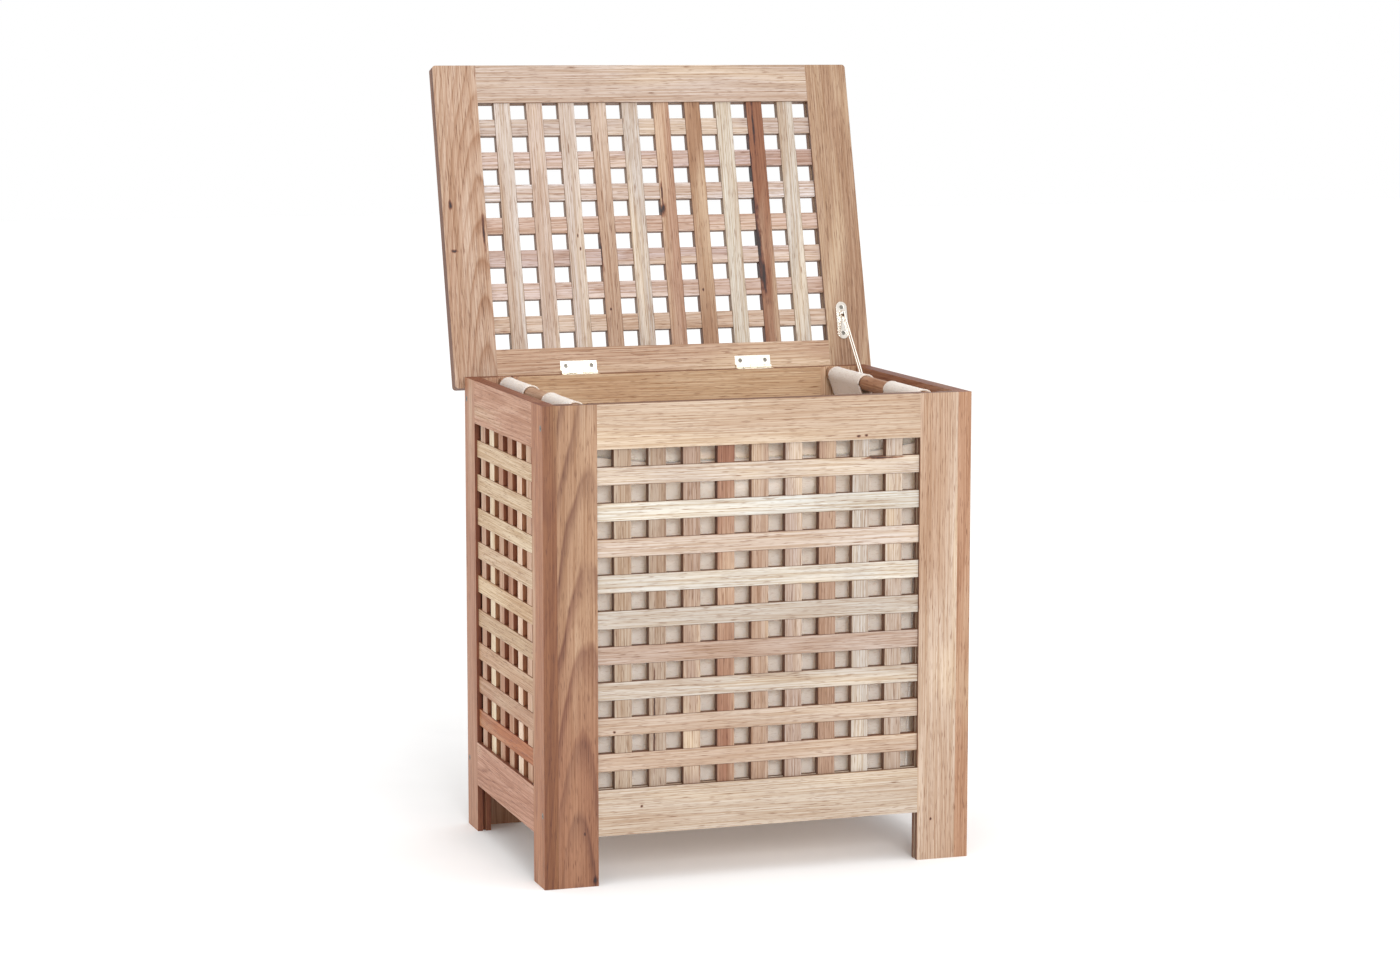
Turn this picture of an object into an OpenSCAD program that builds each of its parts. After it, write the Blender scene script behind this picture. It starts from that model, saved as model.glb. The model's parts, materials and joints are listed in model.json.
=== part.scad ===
// Lattice laundry chest: four framed slat panels, a hinged lattice lid held open by a slotted
// stay, and a canvas bag that hangs by its loops from two wooden rods.
// Front is -Y, +Z is up. The origin is on the floor, centred under the chest with its lid open.

/* [Chest] */
// Width of the chest across its front
chest_w = 504; // [400:1:640]
// Depth of the chest, front to back
chest_d = 340; // [280:1:440]
// Height of the chest, floor to rim
chest_h = 538; // [430:1:680]
// Thickness of every frame member
frame_t = 16; // [14:0.5:22]
// Width of the stiles of the front and back panels
face_stile_w = 46; // [44:1:64]
// Width of the stiles of the side panels
side_stile_w = 45; // [30:1:64]
// Height of the top rails
top_rail_h = 50; // [40:1:80]
// Height of the bottom rails
bottom_rail_h = 52; // [30:1:80]
// Clear height under the bottom rails
foot_h = 56; // [20:1:110]

/* [Lattice] */
// Width of a slat
slat_w = 20; // [14:0.5:26]
// Distance from one slat to the next
slat_pitch = 40; // [34:0.5:52]
// Thickness of the lattice
slat_t = 11; // [9:0.5:12]
// Depth of the lattice behind the outer face of its frame
slat_recess = 3; // [0.5:0.5:4]
// Step between the two layers of slats, on each face
slat_step = 0.6; // [0:0.1:1.5]

/* [Frame joints] */
// Thickness of the tongues on rails and slats
tongue_t = 4; // [3:0.5:5]
// Length of the tongues
tongue_l = 6; // [4:0.5:8]
// Clearance around a tongue in its groove, and beside a lapped slat
joint_gap = 0.15; // [0.05:0.05:0.3]

/* [Lid] */
// How far the lid overhangs each side of the chest
lid_side_overhang = 11; // [0:0.5:25]
// How far the lid overhangs the front of the chest
lid_front_overhang = 33; // [0:1:60]
// Width of the lid's stiles
lid_stile_w = 53; // [40:1:70]
// Width of the lid's front rail
lid_front_rail_w = 46; // [30:1:70]
// Width of the lid's hinge rail
lid_hinge_rail_w = 45; // [36:1:70]
// Radius of the lid's corners
lid_corner_r = 4; // [1:0.5:8]
// How far the lid's rear edge lies behind the hinge axis
lid_tail = 15; // [12:0.1:15.2]
// Gap between the closed lid and the rim
lid_gap = 2.6; // [2.4:0.1:4]
// Opening angle of the lid, from closed
lid_open = 105; // [90:1:105]

/* [Hinges] */
// Distance of each hinge from the middle of the lid
hinge_x = 110; // [60:1:150]
// Length of a hinge
leaf_l = 45; // [30:1:60]
// Width of a leaf, from the hinge axis
leaf_w = 14; // [12:0.5:16]
// Thickness of a leaf
leaf_t = 1.2; // [0.8:0.1:1.5]
// Diameter of the hinge pin
hinge_pin_d = 2.4; // [2:0.1:2.6]
// Distance of the hinge axis behind the back panel
axis_back = 3; // [3:0.1:4]
// Number of knuckles in a hinge
knuckles = 5; // [3:2:7]

/* [Lid stay] */
// Distance of the arm's pivot from the hinge axis, measured along the lid
stay_reach = 62; // [50:1:90]
// Depth of the stay's lower pin under the hinge axis
stay_drop = 17; // [14:0.5:22]
// Distance of the arm's pivot from the lid's inner face
pivot_rise = 6; // [5:0.5:8]
// Width of the arm
arm_w = 8; // [7:0.5:12]
// Thickness of the arm
arm_t = 1.5; // [1:0.1:2.5]
// Diameter of the stay's pins
stay_pin_d = 3; // [2.5:0.1:4]
// Length of the stay's oval plates
plate_l = 46; // [42:1:60]
// Width of the plates
plate_w = 14; // [12:0.5:18]
// Thickness of the plates
plate_t = 1.6; // [1.4:0.1:2.4]
// Distance of a plate's middle from its pivot
plate_shift = 8; // [4:0.5:10]

/* [Screws] */
// Head diameter of the screws that join the panels
panel_screw_head_d = 7; // [6:0.5:10]
// Shaft diameter of the panel screws
panel_screw_d = 4; // [3:0.5:5]
// Length of the panel screws
panel_screw_l = 45; // [30:1:50]
// Head diameter of the screws in the hinges and the stay
small_screw_head_d = 5; // [4:0.1:5.4]
// Shaft diameter of the small screws
small_screw_d = 2.4; // [2:0.1:3]
// Length of the small screws
small_screw_l = 11; // [8:0.5:12]

/* [Rods] */
// Diameter of the bag's rods
rod_d = 17; // [12:0.5:20]
// Distance of a rod's axis from the inner face of its side panel
rod_inset = 30; // [27:0.5:32]
// Depth of a rod's axis under the rim
rod_sink = 9.5; // [9.5:0.5:30]
// Depth of the open slots that hold the ends of the rods
rod_slot_depth = 8; // [5:0.5:10]
// Clearance around a rod in its slots and loops
rod_gap = 0.4; // [0.2:0.1:1]

/* [Bag] */
// Gap between the bag and the front and back panels
bag_gap = 5; // [5:1:30]
// Thickness of the bag's cloth, with its seams
cloth_t = 2; // [1:0.1:3]
// Height of the bag's bottom above the floor
bag_floor_z = 70; // [40:1:120]
// Depth of the bag's top edge under the rods' axes
bag_drop = 28; // [16:1:80]
// Gap between the two loops on a rod
loop_space = 82; // [30:1:120]
// Distance of a loop from the end of the bag
loop_end = 8; // [2:1:30]

/* [Hidden] */

$fn = 48;
// Overrun of a cut past the face that it opens
cut = 1;
// Clearance between moving metal pieces, and around a screw
metal_gap = 0.3;
screw_gap = 0.1;

// Panels: a face panel stands between the two side panels
face_w = chest_w - 2 * frame_t;
lattice_z0 = foot_h + bottom_rail_h;
lattice_z1 = chest_h - top_rail_h;
groove_w = tongue_t + 2 * joint_gap;
groove_d = tongue_l + joint_gap;
groove_z = (frame_t - groove_w) / 2;
tongue_z = (frame_t - tongue_t) / 2;
lap_z = slat_recess + slat_t / 2;
low_screw_z = foot_h + bottom_rail_h / 2;
high_screw_z = chest_h - top_rail_h / 2;

// Hinges
axis_y = chest_d / 2 + axis_back;
axis_z = chest_h + lid_gap / 2;
knuckle_r = lid_gap / 2 + leaf_t;
knuckle_l = leaf_l / knuckles;
hinge_screw_x = leaf_l / 2 - 6.5;
hinge_screw_y = axis_y - leaf_w / 2 - 1;
// The leaves are let into the wood by their own thickness
mortise_l = leaf_l + 2 * joint_gap;
mortise_w = leaf_w + joint_gap;

// Lid, drawn closed and then turned about the hinge axis
lid_w = chest_w + 2 * lid_side_overhang;
lid_d = chest_d + axis_back + lid_tail + lid_front_overhang;
lid_y1 = axis_y + lid_tail;
lid_inner_z = chest_h + lid_gap;
lid_outer_z = lid_inner_z + frame_t;

// Stay: both of its pivots lie at one distance from the hinge axis, so the arm always turns
// half as far as the lid does
pivot_closed = [axis_y - stay_reach, lid_inner_z - pivot_rise];
stay_r = norm(pivot_closed - [axis_y, axis_z]);
base_pin = [axis_y - sqrt(stay_r * stay_r - stay_drop * stay_drop), axis_z - stay_drop];
pivot_open = turned(pivot_closed, lid_open);
arm_angle = atan2(base_pin.y - pivot_open.y, base_pin.x - pivot_open.x);
slot_near = norm(base_pin - pivot_closed);
slot_far = norm(base_pin - pivot_open);
plate_hole_span = plate_l - plate_w;
stay_head_d = 7;
stay_head_t = 1;
wall_x = chest_w / 2 - frame_t;
arm_x = wall_x - plate_t - 5;
ear_t = 1.5;
ear_x = arm_x - metal_gap - ear_t;
bracket_x = arm_x + arm_t / 2;

// Rods and bag
rod_x = wall_x - rod_inset;
rod_z = chest_h - rod_sink;
rod_l = chest_d - 2 * frame_t + 2 * (rod_slot_depth - rod_gap);
bag_top_z = rod_z - bag_drop;
bag_d = chest_d - 2 * frame_t - 2 * bag_gap;
loop_l = bag_d / 2 - loop_space / 2 - loop_end;
loop_r = rod_d / 2 + rod_gap;

// The open lid reaches behind the chest: the origin is midway between front and lid
reach_back = turned([lid_y1 - lid_d, lid_outer_z], lid_open).x;
middle_y = (reach_back - chest_d / 2) / 2;

// Colours
tan_wood = "#D2B08C";
pink_wood = "#C9A58C";
cream_wood = "#E4D6B8";
canvas = "#E0D8CC";
nickel = "#C8C6C0";

// A point in the Y-Z plane, carried with the lid from closed to the given angle
function turned(p, angle) =
    let (dy = p.x - axis_y, dz = p.y - axis_z)
    [axis_y + dy * cos(angle) + dz * sin(angle), axis_z - dy * sin(angle) + dz * cos(angle)];

// First edges of the slats that fill the span from a to b
function slat_edges(a, b) =
    let (n = round((b - a) / slat_pitch - 0.5), span = (n - 1) * slat_pitch + slat_w)
    [for (i = [0 : n - 1]) (a + b - span) / 2 + i * slat_pitch];

// ---- Panels lie flat here: x across, y up the panel, z inward from the outer face ----

// One stile; side is 1 when its groove is on the far edge and 0 when it is on the near edge
module stile(w, h, side) {
    difference() {
        cube([w, h, frame_t]);
        translate([side * (w - groove_d) - (1 - side) * cut, -cut, groove_z])
            cube([groove_d + cut, h + 2 * cut, groove_w]);
    }
}

// One rail with a tongue on each end; side places the groove for the slats, as in a stile
module rail(l, h, side) {
    difference() {
        union() {
            cube([l, h, frame_t]);
            translate([-tongue_l, 0, tongue_z])
                cube([l + 2 * tongue_l, h, tongue_t]);
        }
        translate([-tongue_l - cut, side * (h - groove_d) - (1 - side) * cut, groove_z])
            cube([l + 2 * tongue_l + 2 * cut, groove_d + cut, groove_w]);
    }
}

// Slats across the panel, notched on their inner side over the upright ones
module cross_slats(x0, x1, y0, y1) {
    for (y = slat_edges(y0, y1))
        difference() {
            union() {
                translate([x0, y, slat_recess])
                    cube([x1 - x0, slat_w, slat_t - slat_step]);
                translate([x0 - tongue_l, y, tongue_z])
                    cube([x1 - x0 + 2 * tongue_l, slat_w, tongue_t]);
            }
            for (x = slat_edges(x0, x1))
                translate([x - joint_gap, y - cut, lap_z])
                    cube([slat_w + 2 * joint_gap, slat_w + 2 * cut, slat_t]);
        }
}

// Slats up the panel, notched on their outer side under the cross ones
module upright_slats(x0, x1, y0, y1) {
    for (x = slat_edges(x0, x1))
        difference() {
            union() {
                translate([x, y0, slat_recess + slat_step])
                    cube([slat_w, y1 - y0, slat_t - slat_step]);
                translate([x, y0 - tongue_l, tongue_z])
                    cube([slat_w, y1 - y0 + 2 * tongue_l, tongue_t]);
            }
            for (y = slat_edges(y0, y1))
                translate([x - cut, y - joint_gap, lap_z - slat_t])
                    cube([slat_w + 2 * cut, slat_w + 2 * joint_gap, slat_t]);
        }
}

module face_cross_slats() {
    cross_slats(face_stile_w, face_w - face_stile_w, lattice_z0, lattice_z1);
}

module face_upright_slats() {
    upright_slats(face_stile_w, face_w - face_stile_w, lattice_z0, lattice_z1);
}

module side_cross_slats() {
    cross_slats(side_stile_w, chest_d - side_stile_w, lattice_z0, lattice_z1);
}

module side_upright_slats() {
    upright_slats(side_stile_w, chest_d - side_stile_w, lattice_z0, lattice_z1);
}

module face_rail(z, h, side) {
    translate([face_stile_w, z, 0])
        rail(face_w - 2 * face_stile_w, h, side);
}

module side_rail(z, h, side) {
    translate([side_stile_w, z, 0])
        rail(chest_d - 2 * side_stile_w, h, side);
}

// ---- Placing a flat panel on the chest ----

module at_front() {
    translate([-face_w / 2, -chest_d / 2, 0])
        mirror([0, 1, 0])
            rotate([90, 0, 0])
                children();
}

module at_back() {
    translate([-face_w / 2, chest_d / 2, 0])
        rotate([90, 0, 0])
            children();
}

module at_left() {
    translate([-chest_w / 2, -chest_d / 2, 0])
        rotate([90, 0, 90])
            children();
}

module at_right() {
    mirror([1, 0, 0])
        at_left()
            children();
}

// The lid's flat panel has y = 0 at its rear edge, and its outer face is on top
module at_lid() {
    as_open()
        translate([-lid_w / 2, lid_y1, lid_outer_z])
            rotate([180, 0, 0])
                children();
}

// Carries what is drawn on the closed lid to the open position
module as_open() {
    translate([0, axis_y, axis_z])
        rotate([-lid_open, 0, 0])
            translate([0, -axis_y, -axis_z])
                children();
}

// ---- Screws: the head's face is at z = 0 and the shaft runs down ----

module screw(head_d, shaft_d, l) {
    head_h = (head_d - shaft_d) / 2;
    difference() {
        union() {
            translate([0, 0, -head_h])
                cylinder(h = head_h, d1 = shaft_d, d2 = head_d);
            translate([0, 0, -l])
                cylinder(h = l - head_h, d = shaft_d);
        }
        for (a = [0, 90])
            rotate([0, 0, a + 20])
                translate([-head_d * 0.28, -head_d * 0.06, -head_h * 0.6])
                    cube([head_d * 0.56, head_d * 0.12, head_h]);
    }
}

module screw_hole(head_d, shaft_d, l) {
    head_h = (head_d - shaft_d) / 2;
    translate([0, 0, -head_h])
        cylinder(h = head_h, d1 = shaft_d + 2 * screw_gap, d2 = head_d + 2 * screw_gap);
    cylinder(h = cut, d = head_d + 2 * screw_gap);
    translate([0, 0, -l - screw_gap])
        cylinder(h = l, d = shaft_d + 2 * screw_gap);
}

// Places the four screws of the right side; the left side mirrors them
module at_panel_screws() {
    for (y = [-1, 1], z = [low_screw_z, high_screw_z])
        translate([chest_w / 2, y * (chest_d - frame_t) / 2, z])
            rotate([0, 90, 0])
                children();
}

module panel_screw_holes() {
    at_panel_screws()
        screw_hole(panel_screw_head_d, panel_screw_d, panel_screw_l);
}

module at_hinge_screws() {
    for (side = [-1, 1], x = [-1, 1])
        translate([side * hinge_x + x * hinge_screw_x, hinge_screw_y, 0])
            children();
}

module at_hinge_body_screws() {
    at_hinge_screws()
        translate([0, 0, chest_h])
            children();
}

module at_hinge_lid_screws() {
    at_hinge_screws()
        translate([0, 0, lid_inner_z])
            rotate([180, 0, 0])
                children();
}

module at_stay_base_screws() {
    for (y = [-1, 1])
        translate([wall_x - plate_t, base_pin.x - plate_shift + y * plate_hole_span / 2, base_pin.y])
            rotate([0, -90, 0])
                children();
}

module at_stay_lid_screws() {
    for (y = [-1, 1])
        translate([bracket_x, pivot_closed.x + plate_shift + y * plate_hole_span / 2,
                   lid_inner_z - plate_t])
            rotate([180, 0, 0])
                children();
}

module small_screw() {
    screw(small_screw_head_d, small_screw_d, small_screw_l);
}

module small_screw_hole() {
    screw_hole(small_screw_head_d, small_screw_d, small_screw_l);
}

// ---- Front and back panels ----

// Rod slots: blind, cut from the inner face and open at the rim
module rod_slots() {
    for (x = [-1, 1], y = [-1, 1])
        translate([x * rod_x, y * (chest_d / 2 - frame_t), rod_z])
            rotate([90, 0, 0])
                linear_extrude(height = 2 * rod_slot_depth, center = true)
                    union() {
                        circle(r = loop_r);
                        translate([-loop_r, 0])
                            square([2 * loop_r, rod_sink + cut]);
                    }
}

// A stile of a face panel, in place: x is -1 for the left one and y is -1 for the front one
module face_stile(x, y) {
    difference() {
        mirror([x < 0 ? 0 : 1, 0, 0])
            mirror([0, y < 0 ? 0 : 1, 0])
                at_front()
                    stile(face_stile_w, chest_h, 1);
        rod_slots();
        mirror([x < 0 ? 1 : 0, 0, 0])
            panel_screw_holes();
    }
}

module front_left_stile() {
    color(pink_wood)
        face_stile(-1, -1);
}

module front_right_stile() {
    color(tan_wood)
        face_stile(1, -1);
}

module front_top_rail() {
    color(tan_wood)
        at_front()
            face_rail(lattice_z1, top_rail_h, 0);
}

module front_bottom_rail() {
    color(tan_wood)
        at_front()
            face_rail(foot_h, bottom_rail_h, 1);
}

module front_cross_slats() {
    color(cream_wood)
        at_front()
            face_cross_slats();
}

module front_upright_slats() {
    color(tan_wood)
        at_front()
            face_upright_slats();
}

module back_left_stile() {
    color(pink_wood)
        face_stile(-1, 1);
}

module back_right_stile() {
    color(pink_wood)
        face_stile(1, 1);
}

module back_top_rail() {
    color(tan_wood)
        difference() {
            at_back()
                face_rail(lattice_z1, top_rail_h, 0);
            for (x = [-1, 1])
                translate([x * hinge_x - mortise_l / 2, axis_y - mortise_w, chest_h - leaf_t])
                    cube([mortise_l, mortise_w, leaf_t + cut]);
            at_hinge_body_screws()
                small_screw_hole();
        }
}

module back_bottom_rail() {
    color(tan_wood)
        at_back()
            face_rail(foot_h, bottom_rail_h, 1);
}

module back_cross_slats() {
    color(cream_wood)
        at_back()
            face_cross_slats();
}

module back_upright_slats() {
    color(tan_wood)
        at_back()
            face_upright_slats();
}

// ---- Side panels ----

// A stile of the left side panel; y is -1 for the front one
module side_stile(y) {
    difference() {
        mirror([0, y < 0 ? 0 : 1, 0])
            at_left()
                stile(side_stile_w, chest_h, 1);
        mirror([1, 0, 0])
            panel_screw_holes();
    }
}

module left_front_stile() {
    color(pink_wood)
        side_stile(-1);
}

module left_rear_stile() {
    color(pink_wood)
        side_stile(1);
}

module left_top_rail() {
    color(pink_wood)
        at_left()
            side_rail(lattice_z1, top_rail_h, 0);
}

module left_bottom_rail() {
    color(pink_wood)
        at_left()
            side_rail(foot_h, bottom_rail_h, 1);
}

module left_cross_slats() {
    color(cream_wood)
        at_left()
            side_cross_slats();
}

module left_upright_slats() {
    color(cream_wood)
        at_left()
            side_upright_slats();
}

module right_front_stile() {
    color(pink_wood)
        mirror([1, 0, 0])
            side_stile(-1);
}

module right_rear_stile() {
    color(pink_wood)
        difference() {
            mirror([1, 0, 0])
                side_stile(1);
            at_stay_base_screws()
                small_screw_hole();
        }
}

module right_top_rail() {
    color(pink_wood)
        difference() {
            at_right()
                side_rail(lattice_z1, top_rail_h, 0);
            at_stay_base_screws()
                small_screw_hole();
        }
}

module right_bottom_rail() {
    color(pink_wood)
        at_right()
            side_rail(foot_h, bottom_rail_h, 1);
}

module right_cross_slats() {
    color(cream_wood)
        at_right()
            side_cross_slats();
}

module right_upright_slats() {
    color(cream_wood)
        at_right()
            side_upright_slats();
}

// ---- Lid ----

// The left stile, flat, with both of its outer corners rounded
module lid_stile() {
    difference() {
        stile(lid_stile_w, lid_d, 1);
        for (far = [0, 1])
            translate([0, far * lid_d, 0])
                mirror([0, far, 0])
                    translate([-cut, -cut, -cut])
                        linear_extrude(height = frame_t + 2 * cut)
                            difference() {
                                square(lid_corner_r + cut);
                                translate([lid_corner_r + cut, lid_corner_r + cut])
                                    circle(r = lid_corner_r);
                            }
    }
}

module lid_left_stile() {
    color(tan_wood)
        at_lid()
            lid_stile();
}

module lid_right_stile() {
    color(tan_wood)
        difference() {
            mirror([1, 0, 0])
                at_lid()
                    lid_stile();
            as_open()
                at_stay_lid_screws()
                    small_screw_hole();
        }
}

module lid_front_rail() {
    color(pink_wood)
        at_lid()
            translate([lid_stile_w, lid_d - lid_front_rail_w, 0])
                rail(lid_w - 2 * lid_stile_w, lid_front_rail_w, 0);
}

// The hinge rail is let out for the leaves, and a little deeper for the knuckles
module lid_hinge_rail() {
    color(tan_wood)
        difference() {
            at_lid()
                translate([lid_stile_w, 0, 0])
                    rail(lid_w - 2 * lid_stile_w, lid_hinge_rail_w, 1);
            as_open() {
                for (x = [-1, 1]) {
                    translate([x * hinge_x - mortise_l / 2, axis_y - mortise_w, lid_inner_z - cut])
                        cube([mortise_l, mortise_w, leaf_t + cut]);
                    translate([x * hinge_x - mortise_l / 2, axis_y - knuckle_r - metal_gap,
                               lid_inner_z - cut])
                        cube([mortise_l, 2 * (knuckle_r + metal_gap), leaf_t + 0.4 + cut]);
                }
                at_hinge_lid_screws()
                    small_screw_hole();
            }
        }
}

module lid_cross_slats() {
    color(pink_wood)
        at_lid()
            cross_slats(lid_stile_w, lid_w - lid_stile_w,
                        lid_hinge_rail_w, lid_d - lid_front_rail_w);
}

module lid_long_slats() {
    color(tan_wood)
        at_lid()
            upright_slats(lid_stile_w, lid_w - lid_stile_w,
                          lid_hinge_rail_w, lid_d - lid_front_rail_w);
}

// ---- Hinges ----

// One leaf, on the rim; first is the index of its first knuckle
module leaf(first, bore_d) {
    inner_y = axis_y - knuckle_r - metal_gap;
    difference() {
        union() {
            translate([-leaf_l / 2, axis_y - leaf_w, chest_h - leaf_t])
                cube([leaf_l, inner_y - axis_y + leaf_w, leaf_t]);
            for (i = [first : 2 : knuckles - 1])
                translate([-leaf_l / 2 + i * knuckle_l + metal_gap / 2, 0, 0]) {
                    translate([0, inner_y - cut, chest_h - leaf_t])
                        cube([knuckle_l - metal_gap, axis_y - inner_y + cut, leaf_t]);
                    translate([0, axis_y, axis_z])
                        rotate([0, 90, 0])
                            cylinder(h = knuckle_l - metal_gap, r = knuckle_r);
                }
        }
        translate([-leaf_l / 2 - cut, axis_y, axis_z])
            rotate([0, 90, 0])
                cylinder(h = leaf_l + 2 * cut, d = bore_d);
    }
}

module body_leaf(side) {
    color(nickel)
        difference() {
            translate([side * hinge_x, 0, 0])
                leaf(0, hinge_pin_d);
            at_hinge_body_screws()
                small_screw_hole();
        }
}

// The lid's leaf is the body's one mirrored through the hinge axis
module lid_leaf(side) {
    color(nickel)
        as_open()
            difference() {
                translate([side * hinge_x, 0, axis_z])
                    mirror([0, 0, 1])
                        translate([0, 0, -axis_z])
                            leaf(1, hinge_pin_d + 2 * screw_gap);
                at_hinge_lid_screws()
                    small_screw_hole();
            }
}

module hinge_pin(side) {
    color(nickel)
        translate([side * hinge_x - leaf_l / 2 + metal_gap / 2, axis_y, axis_z])
            rotate([0, 90, 0])
                cylinder(h = leaf_l - metal_gap, d = hinge_pin_d);
}

module left_hinge_body_leaf() {
    body_leaf(-1);
}

module left_hinge_lid_leaf() {
    lid_leaf(-1);
}

module left_hinge_pin() {
    hinge_pin(-1);
}

module right_hinge_body_leaf() {
    body_leaf(1);
}

module right_hinge_lid_leaf() {
    lid_leaf(1);
}

module right_hinge_pin() {
    hinge_pin(1);
}

module hinge_body_screws() {
    color(nickel)
        at_hinge_body_screws()
            small_screw();
}

module hinge_lid_screws() {
    color(nickel)
        as_open()
            at_hinge_lid_screws()
                small_screw();
}

// ---- Lid stay ----

// A flat bar with round ends, from x = a to x = b between the centres of its ends
module round_bar(a, b, w) {
    translate([a, -w / 2])
        square([b - a, w]);
    for (x = [a, b])
        translate([x, 0])
            circle(d = w);
}

// Stands a flat shape up in the Y-Z plane, its x along Y and its thickness along X
module upright_sheet(t) {
    rotate([90, 0, 90])
        linear_extrude(height = t)
            children();
}

module stay_base_plate() {
    color(nickel)
        difference() {
            translate([wall_x - plate_t, base_pin.x - plate_shift, base_pin.y])
                upright_sheet(plate_t)
                    round_bar(-plate_hole_span / 2, plate_hole_span / 2, plate_w);
            at_stay_base_screws()
                small_screw_hole();
        }
}

// Shouldered pin on the base plate; its head keeps the slotted arm on
module stay_base_pin() {
    head_x = arm_x - metal_gap - stay_head_t;
    color(nickel)
        translate([0, base_pin.x, base_pin.y])
            rotate([0, 90, 0]) {
                translate([0, 0, arm_x + arm_t + metal_gap])
                    cylinder(h = wall_x - plate_t - arm_x - arm_t - metal_gap, d = stay_head_d - 1);
                translate([0, 0, head_x + stay_head_t / 2])
                    cylinder(h = wall_x - plate_t - head_x - stay_head_t / 2, d = stay_pin_d);
                translate([0, 0, head_x])
                    cylinder(h = stay_head_t, d = stay_head_d);
            }
}

module stay_arm() {
    color(nickel)
        translate([arm_x, pivot_open.x, pivot_open.y])
            rotate([arm_angle, 0, 0])
                upright_sheet(arm_t)
                    difference() {
                        round_bar(0, slot_far + arm_w / 2, arm_w);
                        circle(d = stay_pin_d + 2 * screw_gap);
                        round_bar(slot_near, slot_far, stay_pin_d + 2 * metal_gap);
                    }
}

// Oval plate with an ear bent out of it, which leaves a window beside the ear
module stay_lid_bracket() {
    ear_w = arm_w;
    ear_l = pivot_rise + ear_w / 2;
    window_w = ear_t + 2.5;
    color(nickel)
        as_open()
            difference() {
                union() {
                    translate([bracket_x, pivot_closed.x + plate_shift, lid_inner_z - plate_t])
                        linear_extrude(height = plate_t)
                            rotate([0, 0, 90])
                                round_bar(-plate_hole_span / 2, plate_hole_span / 2, plate_w);
                    translate([ear_x, pivot_closed.x, pivot_closed.y])
                        rotate([0, 90, 0])
                            cylinder(h = ear_t, d = ear_w);
                    translate([ear_x, pivot_closed.x - ear_w / 2, pivot_closed.y])
                        cube([ear_t, ear_w, lid_inner_z - pivot_closed.y - plate_t / 2]);
                }
                translate([ear_x + ear_t, pivot_closed.x - ear_w / 2, lid_inner_z - plate_t - cut])
                    cube([window_w, ear_w, plate_t + 2 * cut]);
                translate([ear_x - cut, pivot_closed.x, pivot_closed.y])
                    rotate([0, 90, 0])
                        cylinder(h = ear_t + 2 * cut, d = stay_pin_d);
                at_stay_lid_screws()
                    small_screw_hole();
            }
}

// Rivet through the bracket's ear; the arm turns on it
module stay_lid_rivet() {
    far_x = arm_x + arm_t + metal_gap;
    color(nickel)
        as_open()
            translate([0, pivot_closed.x, pivot_closed.y])
                rotate([0, 90, 0]) {
                    translate([0, 0, ear_x - stay_head_t])
                        cylinder(h = stay_head_t, d = stay_head_d - 1.5);
                    translate([0, 0, ear_x - stay_head_t / 2])
                        cylinder(h = far_x - ear_x + stay_head_t, d = stay_pin_d);
                    translate([0, 0, far_x])
                        cylinder(h = stay_head_t, d = stay_head_d - 1.5);
                }
}

module stay_base_screws() {
    color(nickel)
        at_stay_base_screws()
            small_screw();
}

module stay_lid_screws() {
    color(nickel)
        as_open()
            at_stay_lid_screws()
                small_screw();
}

// ---- Panel screws ----

module right_panel_screws() {
    color("#6E6A64")
        at_panel_screws()
            screw(panel_screw_head_d, panel_screw_d, panel_screw_l);
}

module left_panel_screws() {
    mirror([1, 0, 0])
        right_panel_screws();
}

// ---- Rods and bag ----

module rod(side) {
    color(pink_wood)
        translate([side * rod_x, 0, rod_z])
            rotate([90, 0, 0])
                cylinder(h = rod_l, d = rod_d, center = true);
}

module left_rod() {
    rod(-1);
}

module right_rod() {
    rod(1);
}

// Front panel of the bag; the back one is the same piece on the other side
module bag_face_panel(side) {
    color(canvas)
        translate([0, side * (bag_d - cloth_t) / 2, (bag_floor_z + bag_top_z) / 2])
            cube([2 * rod_x - cloth_t, cloth_t, bag_top_z - bag_floor_z], center = true);
}

module bag_side_panel(side) {
    color(canvas)
        translate([side * rod_x, 0, (bag_floor_z + bag_top_z) / 2])
            cube([cloth_t, bag_d, bag_top_z - bag_floor_z], center = true);
}

module bag_front_panel() {
    bag_face_panel(-1);
}

module bag_back_panel() {
    bag_face_panel(1);
}

module bag_left_panel() {
    bag_side_panel(-1);
}

module bag_right_panel() {
    bag_side_panel(1);
}

module bag_base_panel() {
    color(canvas)
        translate([0, 0, bag_floor_z + cloth_t / 2])
            cube([2 * rod_x - cloth_t, bag_d - 2 * cloth_t, cloth_t], center = true);
}

// The two loops on one rod: each is a sleeve around the rod on a tail sewn to the bag
module bag_loops(side) {
    color(canvas)
        for (y = [-1, 1])
            translate([side * rod_x, y * (loop_space + loop_l) / 2, 0])
                difference() {
                    union() {
                        translate([0, 0, rod_z])
                            rotate([90, 0, 0])
                                cylinder(h = loop_l, r = loop_r + cloth_t, center = true);
                        translate([-cloth_t / 2, -loop_l / 2, bag_top_z])
                            cube([cloth_t, loop_l, rod_z - loop_r - cloth_t / 2 - bag_top_z]);
                    }
                    translate([0, 0, rod_z])
                        rotate([90, 0, 0])
                            cylinder(h = loop_l + 2 * cut, r = loop_r, center = true);
                }
}

module bag_left_loops() {
    bag_loops(-1);
}

module bag_right_loops() {
    bag_loops(1);
}

// ---- The whole chest, with its origin on the floor ----

module in_place() {
    translate([0, -middle_y, 0])
        children();
}

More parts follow.
